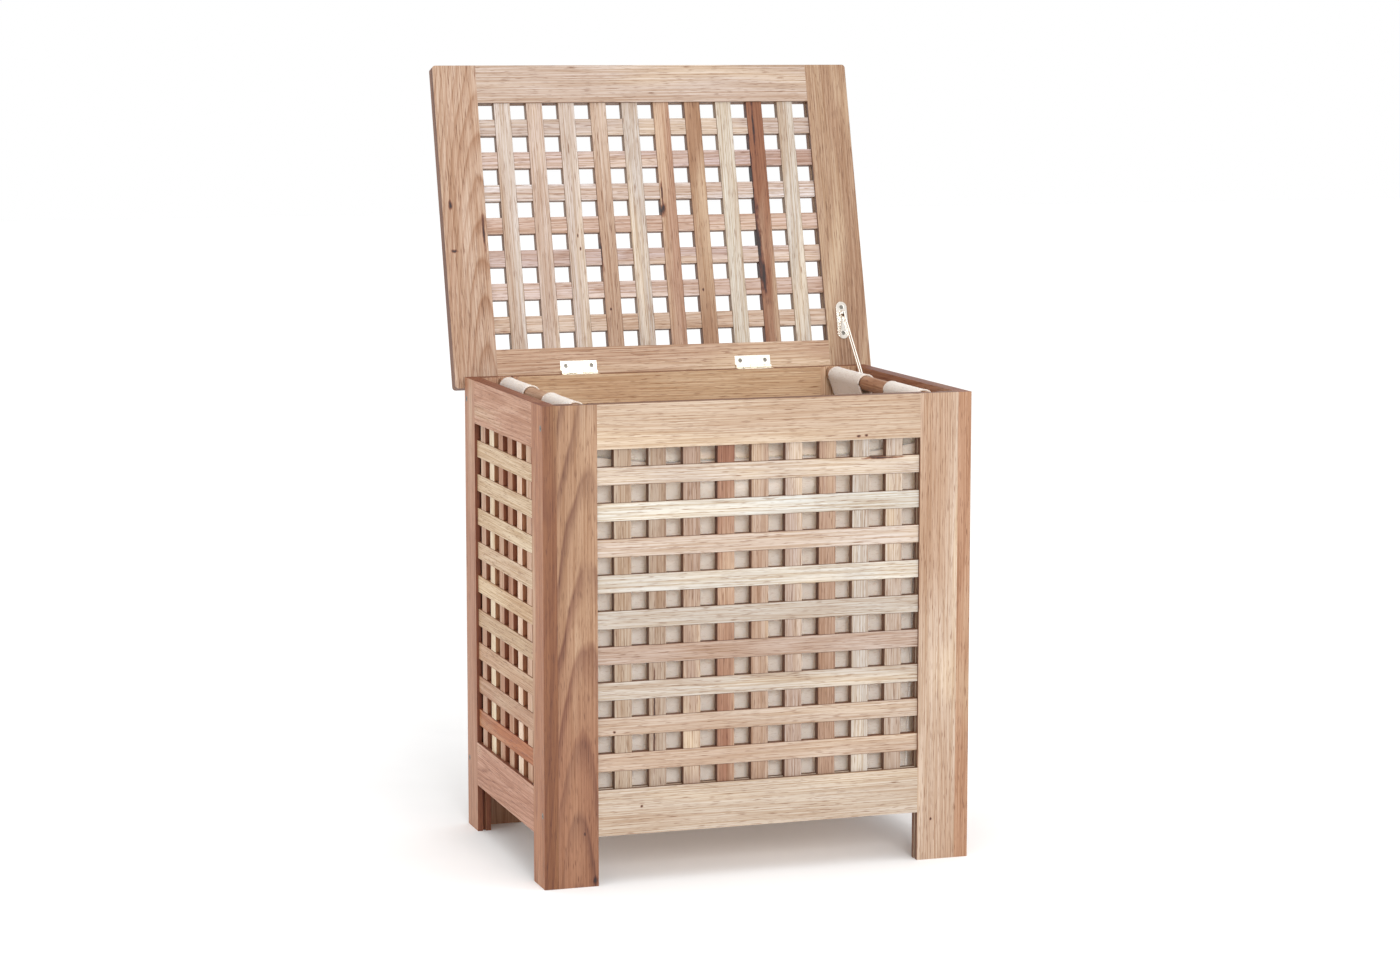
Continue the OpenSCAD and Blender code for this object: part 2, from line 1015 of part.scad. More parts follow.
in_place() front_left_stile();
in_place() front_right_stile();
in_place() front_top_rail();
in_place() front_bottom_rail();
in_place() front_cross_slats();
in_place() front_upright_slats();
in_place() back_left_stile();
in_place() back_right_stile();
in_place() back_top_rail();
in_place() back_bottom_rail();
in_place() back_cross_slats();
in_place() back_upright_slats();
in_place() left_front_stile();
in_place() left_rear_stile();
in_place() left_top_rail();
in_place() left_bottom_rail();
in_place() left_cross_slats();
in_place() left_upright_slats();
in_place() right_front_stile();
in_place() right_rear_stile();
in_place() right_top_rail();
in_place() right_bottom_rail();
in_place() right_cross_slats();
in_place() right_upright_slats();
in_place() lid_left_stile();
in_place() lid_right_stile();
in_place() lid_front_rail();
in_place() lid_hinge_rail();
in_place() lid_cross_slats();
in_place() lid_long_slats();
in_place() left_hinge_body_leaf();
in_place() left_hinge_lid_leaf();
in_place() left_hinge_pin();
in_place() right_hinge_body_leaf();
in_place() right_hinge_lid_leaf();
in_place() right_hinge_pin();
in_place() hinge_body_screws();
in_place() hinge_lid_screws();
in_place() stay_base_plate();
in_place() stay_base_pin();
in_place() stay_arm();
in_place() stay_lid_bracket();
in_place() stay_lid_rivet();
in_place() stay_base_screws();
in_place() stay_lid_screws();
in_place() left_panel_screws();
in_place() right_panel_screws();
in_place() left_rod();
in_place() right_rod();
in_place() bag_front_panel();
in_place() bag_back_panel();
in_place() bag_left_panel();
in_place() bag_right_panel();
in_place() bag_base_panel();
in_place() bag_left_loops();
in_place() bag_right_loops();
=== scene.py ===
import bpy
import json
import math
import random
from mathutils import Matrix, Vector


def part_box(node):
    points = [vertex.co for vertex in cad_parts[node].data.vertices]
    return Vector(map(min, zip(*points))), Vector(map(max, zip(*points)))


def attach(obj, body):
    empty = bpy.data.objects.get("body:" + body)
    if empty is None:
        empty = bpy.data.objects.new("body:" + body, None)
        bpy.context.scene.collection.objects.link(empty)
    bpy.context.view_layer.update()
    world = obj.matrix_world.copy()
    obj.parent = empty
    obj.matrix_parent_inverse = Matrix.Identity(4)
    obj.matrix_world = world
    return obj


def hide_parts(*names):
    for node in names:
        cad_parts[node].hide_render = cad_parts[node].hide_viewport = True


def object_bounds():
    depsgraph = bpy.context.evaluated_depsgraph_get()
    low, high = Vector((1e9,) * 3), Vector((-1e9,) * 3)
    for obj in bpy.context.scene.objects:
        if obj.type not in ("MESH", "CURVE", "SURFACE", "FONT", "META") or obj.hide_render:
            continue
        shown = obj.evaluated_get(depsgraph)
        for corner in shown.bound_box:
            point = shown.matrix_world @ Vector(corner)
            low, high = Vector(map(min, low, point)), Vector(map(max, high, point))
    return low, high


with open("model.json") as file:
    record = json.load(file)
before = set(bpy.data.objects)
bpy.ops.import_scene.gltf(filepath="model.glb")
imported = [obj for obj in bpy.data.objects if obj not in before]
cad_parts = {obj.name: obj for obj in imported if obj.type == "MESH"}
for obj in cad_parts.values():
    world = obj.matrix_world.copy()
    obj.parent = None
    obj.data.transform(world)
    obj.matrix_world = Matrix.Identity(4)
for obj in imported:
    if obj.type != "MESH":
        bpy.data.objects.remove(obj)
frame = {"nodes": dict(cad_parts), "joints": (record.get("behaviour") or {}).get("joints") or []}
cad_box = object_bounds()
nodes = frame["nodes"]
joints = {joint["name"]: joint for joint in frame["joints"]}
MM = 0.001


# ---- Camera, light and floor ----

def forward_from(turn, dip):
    """The level direction +Y turned towards +X, then dipped below the horizon, both in degrees."""
    a = math.radians(turn)
    b = math.radians(dip)
    return Vector((math.sin(a) * math.cos(b), math.cos(a) * math.cos(b), -math.sin(b)))


def aimed(thing, place, direction):
    """Puts a camera or lamp in the scene, looking along a direction."""
    thing_object = bpy.data.objects.new(thing.name, thing)
    bpy.context.scene.collection.objects.link(thing_object)
    thing_object.location = place
    thing_object.rotation_euler = direction.to_track_quat("-Z", "Y").to_euler()
    return thing_object


# A long lens from the front left, a little above the open lid
view = bpy.data.cameras.new("view")
view.lens = 85.9
view.sensor_width = 36.0
view.clip_end = 30.0
camera = aimed(view, Vector((-1.21871, -3.70293, 0.92933)), forward_from(18.27, 7.46))
bpy.context.scene.camera = camera
bpy.context.scene.view_settings.view_transform = "Standard"


def linear(code):
    """An sRGB hex colour as linear RGBA."""
    parts = [int(code[i:i + 2], 16) / 255 for i in (1, 3, 5)]
    return [p / 12.92 if p <= 0.04045 else ((p + 0.055) / 1.055) ** 2.4 for p in parts] + [1.0]


def add(tree, kind, values=None, **settings):
    """One node: settings are its own properties, values are its inputs, set or linked."""
    made = tree.nodes.new(kind)
    for name, value in settings.items():
        setattr(made, name, value)
    for name, value in (values or {}).items():
        if isinstance(value, bpy.types.NodeSocket):
            tree.links.new(value, made.inputs[name])
        else:
            made.inputs[name].default_value = value
    return made


def softbox(name, place, aim, size, power):
    """A square studio lamp behind a diffuser."""
    lamp = bpy.data.lights.new(name, "AREA")
    lamp.size = size
    lamp.energy = power
    return aimed(lamp, place, aim - place)


middle = (Vector(cad_box[0]) + Vector(cad_box[1])) / 2
softbox("key_softbox", Vector((-0.2, -3.8, 1.55)), middle, 1.6, 85.0)
overhead = bpy.data.lights.new("overhead_bank", "SUN")
overhead.energy = 0.55
overhead.angle = math.radians(50)
aimed(overhead, Vector((0.3, -1.0, 3.0)), Vector((-0.08, 0.3, -1.0)))
studio = bpy.data.worlds.new("studio")
studio.use_nodes = True
studio.node_tree.nodes["Background"].inputs["Color"].default_value = linear("#FFFFFF")
studio.node_tree.nodes["Background"].inputs["Strength"].default_value = 1.0
bpy.context.scene.world = studio


def new_material(name):
    """An empty material: its node tree, and its surface shader joined to the output."""
    made = bpy.data.materials.new(name)
    made.use_nodes = True
    tree = made.node_tree
    tree.nodes.clear()
    shader = add(tree, "ShaderNodeBsdfPrincipled")
    add(tree, "ShaderNodeOutputMaterial", {"Surface": shader.outputs["BSDF"]})
    return made, tree, shader


def mesh_piece(name, points, faces, material, smooth=True):
    """A mesh object from points and faces, in the row frame."""
    mesh = bpy.data.meshes.new(name)
    mesh.from_pydata([tuple(p) for p in points], [], faces)
    mesh.materials.append(material)
    for polygon in mesh.polygons:
        polygon.use_smooth = smooth
    mesh.update()
    piece = bpy.data.objects.new(name, mesh)
    bpy.context.scene.collection.objects.link(piece)
    return piece


# White studio paper: matt, with a trace of roller texture
paper, tree, shader = new_material("studio_paper")
grit = add(tree, "ShaderNodeTexNoise", {"Scale": 300.0, "Detail": 2.0})
tint = add(tree, "ShaderNodeMix", {0: grit.outputs["Fac"], 6: linear("#F4F4F4"), 7: linear("#F8F8F8")},
           data_type="RGBA")
tree.links.new(tint.outputs[2], shader.inputs["Base Color"])
shader.inputs["Roughness"].default_value = 0.9
shader.inputs["Specular IOR Level"].default_value = 0.2
FLOOR_REACH = 14.0
corners = [(x * FLOOR_REACH, y * FLOOR_REACH, 0) for x, y in ((-1, -1), (1, -1), (1, 1), (-1, 1))]
floor = mesh_piece("studio_floor", corners, [(0, 1, 2, 3)], paper)


# ---- Wood ----

HINGE = Vector(joints["lid_hinge"]["pos_m"])
LID_OPEN = math.radians(joints["lid_hinge"]["range_deg"][1])
AXES = "XYZ"


def levels(tree, value, *stops):
    """A grey curve through (position, brightness) stops."""
    ramp = add(tree, "ShaderNodeValToRGB", {"Fac": value})
    points = ramp.color_ramp.elements
    while len(points) < len(stops):
        points.new(1.0)
    for point, (place, bright) in zip(points, stops):
        point.position = place
        point.color = (bright, bright, bright, 1)
    return ramp.outputs["Color"]


def math_of(tree, operation, a, b=0.0):
    """Arithmetic on one or two numbers."""
    return add(tree, "ShaderNodeMath", {0: a, 1: b}, operation=operation).outputs[0]


def times(tree, vector, by):
    """A vector scaled along each axis."""
    return add(tree, "ShaderNodeVectorMath", {0: vector, 1: by}, operation="MULTIPLY").outputs[0]


def noise_at(tree, vector, scale, detail=2.0, distortion=0.0):
    """Noise with its own scale per axis, in features a metre."""
    return add(tree, "ShaderNodeTexNoise", {"Vector": times(tree, vector, scale), "Scale": 1.0,
                                            "Detail": detail, "Distortion": distortion})


def stained(tree, colour, by, amount):
    """A colour multiplied by another where amount is high."""
    return add(tree, "ShaderNodeMix", {0: amount, 6: colour, 7: by},
               data_type="RGBA", blend_type="MULTIPLY").outputs[2]


def own_frame(point, lid):
    """A point in its board's frame: the lid's boards are taken as closed and measured from the hinge."""
    if not lid:
        return point
    return Matrix.Rotation(LID_OPEN, 3, "X") @ (point - HINGE)


def middle_of(names, lid):
    """The centre of CAD nodes in their boards' frame."""
    spots = [own_frame(vertex.co, lid) for name in names for vertex in nodes[name].data.vertices]
    return [(min(s[axis] for s in spots) + max(s[axis] for s in spots)) / 2 for axis in range(3)]


def wood(name, along, across, tones, centre, start=None, pitch=1.0, lid=False, seed=0.0, ring=3.4,
         arch=0.03, heart=(0.0, 26.0), ring_tone="#CCAC8A", contrast=0.5, spread=0.6, edge="#B08A70",
         blush=None, marks=()):
    """Oiled walnut-family hardwood, planed and sanded: satin, with open pores and wandering growth rings.

    along and across are the axes of the grain and of the board's width. Slats side by side take their
    tones in order, from start and every pitch. heart is the heart line's distance from the board's
    centre, across and through it, in mm. blush is where the heartwood starts and is deepest along the
    board, in mm, and its tint. marks are knots and cracks: (along, across, half length, half width),
    in mm.
    """
    made, tree, shader = new_material(name)
    source = add(tree, "ShaderNodeTexCoord")
    place = source.outputs["Object"]
    facing = source.outputs["Normal"]
    if lid:
        place = add(tree, "ShaderNodeMapping", {"Vector": place, "Location": HINGE,
                                                "Rotation": (-LID_OPEN, 0, 0)},
                    vector_type="TEXTURE").outputs[0]
        facing = add(tree, "ShaderNodeMapping", {"Vector": facing, "Rotation": (-LID_OPEN, 0, 0)},
                     vector_type="TEXTURE").outputs[0]
    through = next(axis for axis in AXES if axis not in (along, across))
    split = add(tree, "ShaderNodeSeparateXYZ", {0: place})
    turned = add(tree, "ShaderNodeSeparateXYZ", {0: facing})
    if start is None:
        slot = 0.0
        scatter = 0.0
        width = math_of(tree, "SUBTRACT", split.outputs[across], centre[AXES.index(across)])
    else:
        scatter = 50 * MM
        cell = math_of(tree, "DIVIDE", math_of(tree, "SUBTRACT", split.outputs[across], start), pitch)
        slot = math_of(tree, "FLOOR", cell)
        inside = math_of(tree, "SUBTRACT", math_of(tree, "SUBTRACT", cell, slot), 0.5)
        width = math_of(tree, "MULTIPLY", inside, pitch)
    depth = math_of(tree, "SUBTRACT", split.outputs[through], centre[AXES.index(through)])
    luck = add(tree, "ShaderNodeTexWhiteNoise", {"W": math_of(tree, "ADD", slot, seed)},
               noise_dimensions="1D").outputs["Color"]
    board = add(tree, "ShaderNodeCombineXYZ", {0: split.outputs[along], 1: width, 2: depth}).outputs[0]
    shifted = add(tree, "ShaderNodeVectorMath", {0: luck, 1: (7.0, 3.0, 2.0), 2: board},
                  operation="MULTIPLY_ADD").outputs[0]

    # Each slat is its own board: its tone by its place in the row
    if start is None:
        colour = linear(tones[0])
    else:
        ramp = add(tree, "ShaderNodeValToRGB",
                   {"Fac": math_of(tree, "DIVIDE", math_of(tree, "ADD", slot, 0.5), len(tones))})
        ramp.color_ramp.interpolation = "CONSTANT"
        points = ramp.color_ramp.elements
        while len(points) < len(tones):
            points.new(1.0)
        for i, tone in enumerate(tones):
            points[i].position = i / len(tones)
            points[i].color = linear(tone)
        colour = ramp.outputs["Color"]

    # Growth rings about a heart line that leans out of the board, so that they cross it in arches
    wander = noise_at(tree, shifted, (5.0, 30.0, 30.0)).outputs["Color"]
    bent = add(tree, "ShaderNodeVectorMath", {0: wander, 1: (0.0, 8 * MM, 8 * MM), 2: board},
               operation="MULTIPLY_ADD").outputs[0]
    strewn = add(tree, "ShaderNodeVectorMath", {0: luck, 1: (0.0, scatter, scatter / 2), 2: bent},
                 operation="MULTIPLY_ADD").outputs[0]
    off_heart = (0, -heart[0] * MM - scatter / 2 - 4 * MM, heart[1] * MM - scatter / 4 - 4 * MM)
    leaned = add(tree, "ShaderNodeMapping", {"Vector": strewn, "Location": off_heart,
                                             "Rotation": (0, arch, arch * 0.4)}).outputs[0]
    radius = add(tree, "ShaderNodeVectorMath", {0: times(tree, leaned, (0, 1, 1))},
                 operation="LENGTH").outputs["Value"]
    years = math_of(tree, "FRACT", math_of(tree, "DIVIDE", radius, ring * MM))
    latewood = levels(tree, years, (0.0, 0.1), (0.45, 0.15), (0.86, 1.0), (1.0, 0.1))
    figure = noise_at(tree, shifted, (3.2, 34.0, 34.0), 3.0, 0.5).outputs["Fac"]
    strength = levels(tree, figure, (0.3, 0.25), (0.75, 1.0))
    ringed = math_of(tree, "MULTIPLY", math_of(tree, "MULTIPLY", latewood, strength), contrast)
    colour = stained(tree, colour, linear(ring_tone), ringed)

    # Broad drift along the board: heartwood is redder and darker, sapwood is creamier
    drift = noise_at(tree, shifted, (3.0, 21.0, 21.0), 2.0, 0.6).outputs["Fac"]
    colour = stained(tree, colour, linear("#DABD9E"), levels(tree, drift, (0.5, 0.0), (0.68, spread)))
    pale = levels(tree, drift, (0.30, 0.55 * spread), (0.46, 0.0))
    colour = add(tree, "ShaderNodeMix", {0: pale, 6: colour, 7: linear("#E8D8BC")},
                 data_type="RGBA").outputs[2]
    # Fibres are about 0.2 mm wide; they are drawn 1 mm wide so that they show
    fibre = noise_at(tree, shifted, (9.0, 800.0, 800.0), 3.0).outputs["Fac"]
    colour = stained(tree, colour, linear("#CDB391"), levels(tree, fibre, (0.36, 0.7), (0.60, 0.0)))
    # Pores are 0.2 mm wide and cut lengthwise; they are drawn 0.7 mm wide so that they show
    pore = noise_at(tree, shifted, (60.0, 1300.0, 1300.0), 1.0).outputs["Fac"]
    pores = levels(tree, pore, (0.6, 0.0), (0.7, 0.8))
    colour = stained(tree, colour, linear("#A87F58"), pores)

    if blush:
        starts, deepest, tint = blush
        gone = math_of(tree, "SUBTRACT", split.outputs[along], starts * MM)
        ragged = math_of(tree, "ADD", math_of(tree, "DIVIDE", gone, (deepest - starts) * MM), ringed)
        colour = stained(tree, colour, linear(tint), levels(tree, ragged, (0.0, 0.0), (1.0, 1.0)))

    # Knots and cracks, each a dark heart in a redder halo
    for u, v, half_long, half_wide in marks:
        flat = add(tree, "ShaderNodeCombineXYZ", {0: split.outputs[along], 1: split.outputs[across]})
        spot = add(tree, "ShaderNodeMapping", {"Vector": flat.outputs[0],
                                               "Location": (u * MM, v * MM, 0),
                                               "Scale": (half_long * MM, half_wide * MM, 1)},
                   vector_type="TEXTURE").outputs[0]
        ragged = add(tree, "ShaderNodeVectorMath",
                     {0: noise_at(tree, board, (90.0, 260.0, 260.0), 3.0).outputs["Color"],
                      1: (1.5, 1.5, 0.0), 2: spot}, operation="MULTIPLY_ADD").outputs[0]
        centred = add(tree, "ShaderNodeVectorMath", {0: ragged, 1: (0.75, 0.75, 0.0)},
                      operation="SUBTRACT").outputs[0]
        away = add(tree, "ShaderNodeVectorMath", {0: centred}, operation="LENGTH").outputs["Value"]
        colour = stained(tree, colour, linear("#B98A6C"), levels(tree, away, (0.6, 1.0), (1.0, 0.0)))
        colour = stained(tree, colour, linear("#5C3826"), levels(tree, away, (0.25, 1.0), (0.7, 0.0)))

    # End grain drinks more oil and is darker than the faces. The side faces are darkened as well, with
    # painted shade: the shade of the narrow gaps between slats and members
    side = math_of(tree, "ABSOLUTE", turned.outputs[across])
    end = math_of(tree, "ABSOLUTE", turned.outputs[along])
    colour = stained(tree, colour, linear(edge), levels(tree, side, (0.6, 0.0), (0.8, 1.0)))
    colour = stained(tree, colour, linear("#B0876C"), levels(tree, end, (0.6, 0.0), (0.8, 1.0)))

    tree.links.new(colour, shader.inputs["Base Color"])
    tree.links.new(levels(tree, fibre, (0.3, 0.62), (0.7, 0.46)), shader.inputs["Roughness"])
    relief = math_of(tree, "SUBTRACT", fibre, math_of(tree, "ADD", pores, ringed))
    bump = add(tree, "ShaderNodeBump", {"Strength": 0.35, "Distance": 0.25 * MM, "Height": relief})
    tree.links.new(bump.outputs["Normal"], shader.inputs["Normal"])
    shader.inputs["IOR"].default_value = 1.5
    return made


# Members with screw holes: their flat faces are joined up first, so that their edges ease cleanly
SCREWED = ["left_front_stile", "left_rear_stile", "right_front_stile", "right_rear_stile"]


def dressed(names, material, round_over):
    """Gives CAD nodes their material and eases their edges, round_over in mm."""
    for name in names:
        piece = nodes[name]
        for slot in piece.material_slots:
            slot.link = "OBJECT"
            slot.material = material
        weld = piece.modifiers.new("weld", "WELD")
        weld.merge_threshold = 0.02 * MM
        if name in SCREWED:
            flat = piece.modifiers.new("flat", "DECIMATE")
            flat.decimate_type = "DISSOLVE"
            flat.angle_limit = math.radians(1)
        ease = piece.modifiers.new("ease", "BEVEL")
        ease.width = round_over * MM
        ease.segments = 2
        ease.limit_method = "ANGLE"
        ease.angle_limit = math.radians(35)
        even = piece.modifiers.new("even", "WEIGHTED_NORMAL")
        even.keep_sharp = False


SLAT_WIDTH = 20 * MM


# The slats' side faces are darkened with painted shade of the gaps between them
def slats(name, along, across, tones, lid=False, edge="#B98D70", **look):
    """A row of slats: its place and pitch come from the box of its CAD node."""
    centre = middle_of([name], lid)
    axis = AXES.index(across)
    low = min(own_frame(vertex.co, lid)[axis] for vertex in nodes[name].data.vertices)
    pitch = (2 * (centre[axis] - low) - SLAT_WIDTH) / (len(tones) - 1)
    start = low - (pitch - SLAT_WIDTH) / 2
    dressed([name], wood(name + "_wood", along, across, tones, centre, start=start, pitch=pitch,
                         lid=lid, edge=edge, **look), 0.5)


def boards(names, along, across, tone, lid=False, **look):
    """Frame members cut from one board."""
    centre = middle_of(names[:1], lid)
    dressed(names, wood(names[0] + "_wood", along, across, [tone], centre, lid=lid, **look), 0.9)


# Tones of the slats, from low to high along their row
FRONT_CROSS = ["#B4A191", "#B5A597", "#B4ABA1", "#AE9E94", "#B1AAA2", "#BCB8B1", "#BEB2A8", "#C0BFBA",
               "#B8ACA1"]
FRONT_UPRIGHT = ["#A79888", "#9E8E7F", "#9B8576", "#865A43", "#A58F7E", "#A6958B", "#9C816E", "#B0A9A2",
                 "#AA9C91"]
SIDE_CROSS = ["#AF662B", "#B38666", "#C39F7F", "#C7AB8A", "#DAC2A0", "#D2B89A", "#D8C2A2", "#D4BC9C",
              "#D6BE9E"]
SIDE_UPRIGHT = ["#D3AF95", "#F3DDC9", "#B58360", "#B58463", "#EEE2C8", "#CCAC95"]
LID_LONG = ["#C0B6AF", "#BBAA9F", "#BCB0A8", "#B9A697", "#B7ADA5", "#A3816B", "#987559", "#C4BFB5",
            "#845538", "#BCB5AC"]
LID_CROSS = ["#B4A69F", "#B7A5A3", "#CCC6C7", "#BDA79C", "#B7A5A1", "#C3B2AC", "#C6B6A9"]

slats("front_cross_slats", "X", "Z", FRONT_CROSS, seed=3.0, contrast=0.42, spread=0.5,
      marks=[(145, 466.5, 27, 2.2), (-171, 172, 2.4, 1.6)])
slats("front_upright_slats", "Z", "X", FRONT_UPRIGHT, seed=21.0, contrast=0.6, spread=0.7,
      marks=[(190, -124, 75, 1.6)])
slats("back_cross_slats", "X", "Z", FRONT_CROSS[::-1], seed=40.0, contrast=0.42, spread=0.5,
      marks=[(-60, 262, 22, 2.4)])
slats("back_upright_slats", "Z", "X", FRONT_UPRIGHT[::-1], seed=60.0, contrast=0.6, spread=0.7)
slats("left_cross_slats", "Y", "Z", SIDE_CROSS, seed=80.0, contrast=0.42, spread=0.5)
slats("left_upright_slats", "Z", "Y", SIDE_UPRIGHT, seed=100.0, contrast=0.6, spread=0.7)
slats("right_cross_slats", "Y", "Z", SIDE_CROSS[::-1], seed=120.0, contrast=0.42, spread=0.5)
slats("right_upright_slats", "Z", "Y", SIDE_UPRIGHT[::-1], seed=140.0, contrast=0.6, spread=0.7,
      marks=[(300, -80, 20, 2.2)])
slats("lid_long_slats", "Y", "X", LID_LONG, lid=True, edge="#CBB49E", seed=160.0, contrast=0.5,
      marks=[(-197, 11.5, 11, 5.5), (-216, 12.5, 24, 1.6), (-150, 131.5, 66, 4.8), (-238, 129.3, 62, 2.8),
             (-303, 137, 42, 1.8), (-110, 135, 34, 3.6), (-143, -70, 24, 1.8), (-76, -63.7, 2.6, 1.6),
             (-97, 55, 2.6, 1.6), (-166, -97.6, 3, 1.3), (-151, -95.7, 3, 1.3)])
slats("lid_cross_slats", "X", "Y", LID_CROSS, lid=True, edge="#CBB49E", seed=180.0, contrast=0.8, spread=0.6)

# Frame members: names, grain, width, tone and looks
FRAME = [
    (["front_left_stile"], "Z", "X", "#9E7D61",
     {"seed": 5.0, "arch": -0.08, "heart": (0.0, 38.0), "ring": 7.5, "contrast": 1.0, "spread": 0.35,
      "ring_tone": "#A8826C", "blush": (300.0, 120.0, "#E3C8BC"),
      "marks": [(7, -194, 7, 3), (60, -206, 3, 1.5)]}),
    (["front_right_stile"], "Z", "X", "#B8A493",
     {"seed": 9.0, "arch": 0.02, "heart": (55.0, 20.0), "ring": 3.0, "marks": [(47, 206.6, 2.4, 1.8)]}),
    (["front_top_rail"], "X", "Z", "#B4A18E",
     {"seed": 13.0, "arch": 0.02, "heart": (60.0, 20.0), "ring": 2.6, "spread": 0.35,
      "marks": [(116, 492, 3.5, 2.2), (125, 492.5, 2.6, 2.0)]}),
    (["front_bottom_rail"], "X", "Z", "#B7AA9C",
     {"seed": 17.0, "arch": 0.02, "heart": (60.0, 20.0), "ring": 2.6, "spread": 0.35,
      "marks": [(-140, 87.3, 2.2, 1.8)]}),
    (["back_left_stile"], "Z", "X", "#B7937A",
     {"seed": 23.0, "arch": 0.05, "heart": (6.0, 26.0), "ring": 4.6, "contrast": 0.9}),
    (["back_right_stile"], "Z", "X", "#BE9D80",
     {"seed": 25.0, "arch": 0.03, "heart": (40.0, 20.0), "ring": 3.4, "marks": [(330, 214, 7, 4)]}),
    (["back_top_rail"], "X", "Z", "#C6AC8E",
     {"seed": 27.0, "arch": 0.03, "heart": (50.0, 20.0), "ring": 3.0, "spread": 0.5}),
    (["back_bottom_rail"], "X", "Z", "#C2A78C",
     {"seed": 31.0, "arch": 0.05, "heart": (8.0, 24.0), "ring": 4.2, "contrast": 0.7}),
    (["left_front_stile"], "Z", "Y", "#B57E59",
     {"seed": 35.0, "arch": 0.05, "heart": (10.0, 24.0), "ring": 4.2, "contrast": 0.9, "edge": "#AA9A7F"}),
    (["right_rear_stile"], "Z", "Y", "#BE8F72",
     {"seed": 36.0, "arch": 0.05, "heart": (10.0, 24.0), "ring": 4.2, "contrast": 0.9}),
    (["left_rear_stile"], "Z", "Y", "#BB8C70",
     {"seed": 39.0, "arch": 0.03, "heart": (30.0, 24.0), "ring": 3.6, "contrast": 0.7}),
    (["right_front_stile"], "Z", "Y", "#C69A7C",
     {"seed": 41.0, "arch": 0.03, "heart": (30.0, 24.0), "ring": 3.6, "contrast": 0.7, "edge": "#D6D7D5"}),
    (["left_top_rail", "right_bottom_rail"], "Y", "Z", "#C4977C",
     {"seed": 43.0, "arch": 0.04, "heart": (10.0, 24.0), "ring": 4.0, "contrast": 0.7}),
    (["left_bottom_rail"], "Y", "Z", "#C3937A",
     {"seed": 47.0, "arch": 0.05, "heart": (4.0, 22.0), "ring": 4.6, "contrast": 0.9}),
    (["right_top_rail"], "Y", "Z", "#B27F63",
     {"seed": 49.0, "arch": 0.05, "heart": (24.0, 22.0), "ring": 4.0, "contrast": 0.9}),
]
for names, along, across, tone, look in FRAME:
    boards(names, along, across, tone, **look)

# The lid's boards, in the lid's own frame
LID_FRAME = [
    (["lid_left_stile"], "Y", "X", "#BAA493",
     {"seed": 51.0, "arch": 0.10, "heart": (14.0, 24.0), "ring": 5.0, "contrast": 1.0,
      "marks": [(-172, -214.5, 28, 2.2), (-206, -253, 7, 3), (-150, -252, 3, 6)]}),
    (["lid_right_stile"], "Y", "X", "#9D7F66",
     {"seed": 55.0, "arch": 0.04, "heart": (30.0, 24.0), "ring": 3.8, "contrast": 0.8}),
    (["lid_front_rail"], "X", "Y", "#B8A89D",
     {"seed": 59.0, "arch": 0.02, "heart": (50.0, 24.0), "ring": 3.2, "contrast": 0.6, "spread": 0.4}),
    (["lid_hinge_rail"], "X", "Y", "#BBA08A",
     {"seed": 63.0, "arch": 0.03, "heart": (26.0, 24.0), "ring": 4.2, "contrast": 0.9}),
]
for names, along, across, tone, look in LID_FRAME:
    boards(names, along, across, tone, lid=True, **look)

boards(["left_rod"], "Y", "X", "#B0886C", seed=70.0, contrast=0.7, edge="#FFFFFF", heart=(4.0, 12.0))
boards(["right_rod"], "Y", "X", "#B0886C", seed=72.0, contrast=0.7, edge="#FFFFFF", heart=(4.0, 12.0))


# ---- Metal ----

def metal(name, tone, rough, grain, scuff):
    """Plated steel: mirror-like plating over a pressed or turned part, dulled by fine handling marks."""
    made, tree, shader = new_material(name)
    source = add(tree, "ShaderNodeTexCoord").outputs["Object"]
    # Handling marks, as fine along each axis as grain says, in features a metre
    marks = noise_at(tree, source, grain, 3.0).outputs["Fac"]
    cloud = noise_at(tree, source, (120.0, 120.0, 120.0), 2.0).outputs["Fac"]
    colour = stained(tree, linear(tone), linear("#B8B0A4"), levels(tree, cloud, (0.4, 0.0), (0.8, scuff)))
    tree.links.new(colour, shader.inputs["Base Color"])
    tree.links.new(levels(tree, marks, (0.3, rough * 0.75), (0.7, rough * 1.35)),
                   shader.inputs["Roughness"])
    bump = add(tree, "ShaderNodeBump", {"Strength": 0.08, "Distance": 0.03 * MM, "Height": marks})
    tree.links.new(bump.outputs["Normal"], shader.inputs["Normal"])
    shader.inputs["Metallic"].default_value = 1.0
    return made


# Brass-washed steel, pressed: pale gold with a soft sheen
hinge_plate = metal("hinge_brass_plate", "#FBF4E6", 0.3, (200.0, 2500.0, 2500.0), 0.2)
# Nickel plate, polished: bright and slightly warm
stay_nickel = metal("stay_nickel_plate", "#E6DFD6", 0.2, (400.0, 400.0, 400.0), 0.2)
# Zinc plate on screws: grey
screw_zinc = metal("screw_zinc_plate", "#7E7A73", 0.36, (1500.0, 1500.0, 1500.0), 0.5)
hinge_names = [side + "_hinge_" + part for side in ("left", "right")
               for part in ("body_leaf", "lid_leaf", "pin")]
dressed(hinge_names, hinge_plate, 0.2)
dressed(["stay_base_plate", "stay_base_pin", "stay_arm", "stay_lid_bracket", "stay_lid_rivet"],
        stay_nickel, 0.25)
dressed(["hinge_body_screws", "hinge_lid_screws", "stay_base_screws", "stay_lid_screws",
         "left_panel_screws", "right_panel_screws"], screw_zinc, 0.12)


# ---- Bag ----

